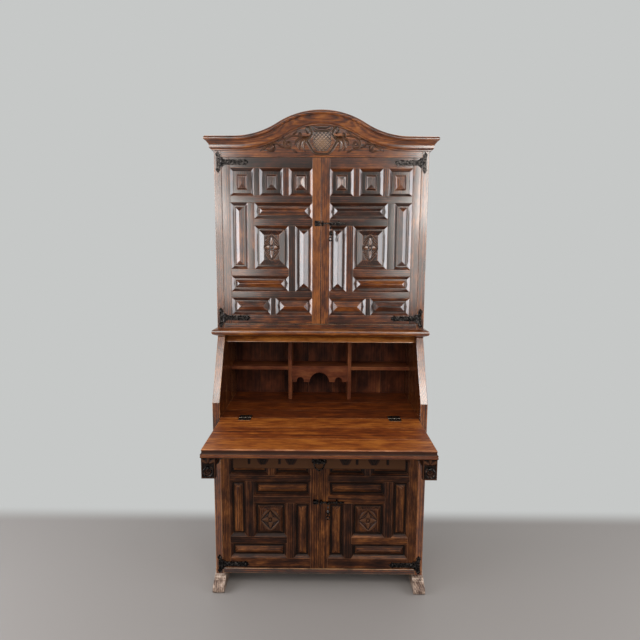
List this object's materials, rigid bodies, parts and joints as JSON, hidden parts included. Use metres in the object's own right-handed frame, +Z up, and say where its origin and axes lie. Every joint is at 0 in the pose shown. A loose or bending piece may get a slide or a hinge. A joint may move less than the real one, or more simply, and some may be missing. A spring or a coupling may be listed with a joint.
{
  "type": "secretary cabinet",
  "caption": "Tall carved secretary cabinet: cupboard under an arched cornice, fall-front desk with pigeonholes, drawer and lopers, and a deeper cupboard on sledge feet.",
  "frame": {"origin": "on the floor under the middle of the whole depth and width", "axes": "+Z up, front towards -Y, +X to the right of someone facing the front"},
  "size_m": [0.946, 0.747, 1.996],
  "materials": {
    "stained_wood": "dark walnut stain under worn satin varnish",
    "inside_wood": "thin stain, matt",
    "foot_wood": "bare worn pine",
    "iron": "blackened wrought iron",
    "hinge_steel": "worn bright steel"
  },
  "bodies": {
    "case": {"base_board": "inside_wood", "base_shelf": "inside_wood", "bed_hinge_leaves": "hinge_steel", "bottom_rail": "stained_wood", "cartouche": "stained_wood", "cornice_front": "stained_wood", "cornice_return_left": "stained_wood", "cornice_return_right": "stained_wood", "deck_board": "inside_wood", "desk_bed": "stained_wood", "desk_top": "stained_wood", "divider_left": "stained_wood", "divider_right": "stained_wood", "foot_left": "foot_wood", "foot_right": "foot_wood", "frieze_board": "stained_wood", "jamb_hinges": "iron", "loper_guide_left": "inside_wood", "loper_guide_right": "inside_wood", "lower_back": "inside_wood", "lower_side_left": "stained_wood", "lower_side_right": "stained_wood", "pigeonhole_apron": "stained_wood", "pigeonhole_shelf": "stained_wood", "upper_back": "inside_wood", "upper_bottom": "stained_wood", "upper_roof": "inside_wood", "upper_shelves": "inside_wood", "upper_side_left": "stained_wood", "upper_side_right": "stained_wood", "waist_moulding": "stained_wood"},
    "upper_door_left": {"upper_door_left_frame": "stained_wood", "upper_door_left_panels": "stained_wood", "upper_door_left_irons": "iron"},
    "upper_door_right": {"upper_door_right_frame": "stained_wood", "upper_door_right_panels": "stained_wood", "upper_door_right_irons": "iron"},
    "lower_door_left": {"lower_door_left_frame": "stained_wood", "lower_door_left_panels": "stained_wood", "lower_door_left_irons": "iron"},
    "lower_door_right": {"lower_door_right_frame": "stained_wood", "lower_door_right_panels": "stained_wood", "lower_door_right_irons": "iron"},
    "upper_bolt": {"upper_bolt": "iron"},
    "upper_bolt_drop": {"upper_bolt_drop": "iron"},
    "lower_bolt": {"lower_bolt": "iron"},
    "lower_bolt_drop": {"lower_bolt_drop": "iron"},
    "fall": {"fall_board": "stained_wood", "fall_nosing": "stained_wood", "fall_hinge_leaves": "hinge_steel"},
    "loper_left": {"loper_left": "stained_wood", "loper_eye_left": "iron"},
    "loper_ring_left": {"loper_ring_left": "iron"},
    "loper_right": {"loper_right": "stained_wood", "loper_eye_right": "iron"},
    "loper_ring_right": {"loper_ring_right": "iron"},
    "drawer": {"drawer_front": "stained_wood", "drawer_box": "inside_wood", "drawer_plate": "iron"},
    "drawer_pull": {"drawer_pull": "iron"}
  },
  "joints": [
    {"name": "upper_door_left_hinge", "type": "hinge", "parent": "case", "child": "upper_door_left", "pos_m": [-0.4085, 0.0838, 1.4755], "axis": [0, 0, -1], "range_deg": [0, 110]},
    {"name": "upper_door_right_hinge", "type": "hinge", "parent": "case", "child": "upper_door_right", "pos_m": [0.4085, 0.0838, 1.4755], "axis": [0, 0, 1], "range_deg": [0, 110]},
    {"name": "lower_door_left_hinge", "type": "hinge", "parent": "case", "child": "lower_door_left", "pos_m": [-0.4085, -0.0467, 0.36175], "axis": [0, 0, -1], "range_deg": [0, 110]},
    {"name": "lower_door_right_hinge", "type": "hinge", "parent": "case", "child": "lower_door_right", "pos_m": [0.4085, -0.0467, 0.36175], "axis": [0, 0, 1], "range_deg": [0, 110]},
    {"name": "fall_hinge", "type": "hinge", "parent": "case", "child": "fall", "pos_m": [0, -0.0345, 0.76], "axis": [-1, 0, 0], "range_deg": [0, 118]},
    {"name": "loper_left_slide", "type": "slide", "parent": "case", "child": "loper_left", "axis": [0, 1, 0], "range_m": [0, 0.3195]},
    {"name": "loper_ring_left_swing", "type": "hinge", "parent": "loper_left", "child": "loper_ring_left", "pos_m": [-0.3835, -0.3681, 0.694], "axis": [-1, 0, 0], "range_deg": [0, 90]},
    {"name": "loper_right_slide", "type": "slide", "parent": "case", "child": "loper_right", "axis": [0, 1, 0], "range_m": [0, 0.3195]},
    {"name": "loper_ring_right_swing", "type": "hinge", "parent": "loper_right", "child": "loper_ring_right", "pos_m": [0.3835, -0.3681, 0.694], "axis": [-1, 0, 0], "range_deg": [0, 90]},
    {"name": "drawer_slide", "type": "slide", "parent": "case", "child": "drawer", "axis": [0, -1, 0], "range_m": [-0.235, 0.065]},
    {"name": "drawer_pull_swing", "type": "hinge", "parent": "drawer", "child": "drawer_pull", "pos_m": [0, -0.2835, 0.687], "axis": [-1, 0, 0], "range_deg": [0, 90]},
    {"name": "upper_bolt_slide", "type": "slide", "parent": "upper_door_right", "child": "upper_bolt", "axis": [-1, 0, 0], "range_m": [0, 0.022]},
    {"name": "upper_bolt_drop_swing", "type": "hinge", "parent": "upper_bolt", "child": "upper_bolt_drop", "pos_m": [0.0406, 0.0759, 1.5515], "axis": [-1, 0, 0], "range_deg": [0, 90]},
    {"name": "lower_bolt_slide", "type": "slide", "parent": "lower_door_right", "child": "lower_bolt", "axis": [-1, 0, 0], "range_m": [0, 0.018]},
    {"name": "lower_bolt_drop_swing", "type": "hinge", "parent": "lower_bolt", "child": "lower_bolt_drop", "pos_m": [0.0366, -0.0546, 0.398], "axis": [-1, 0, 0], "range_deg": [0, 90]}
  ]
}
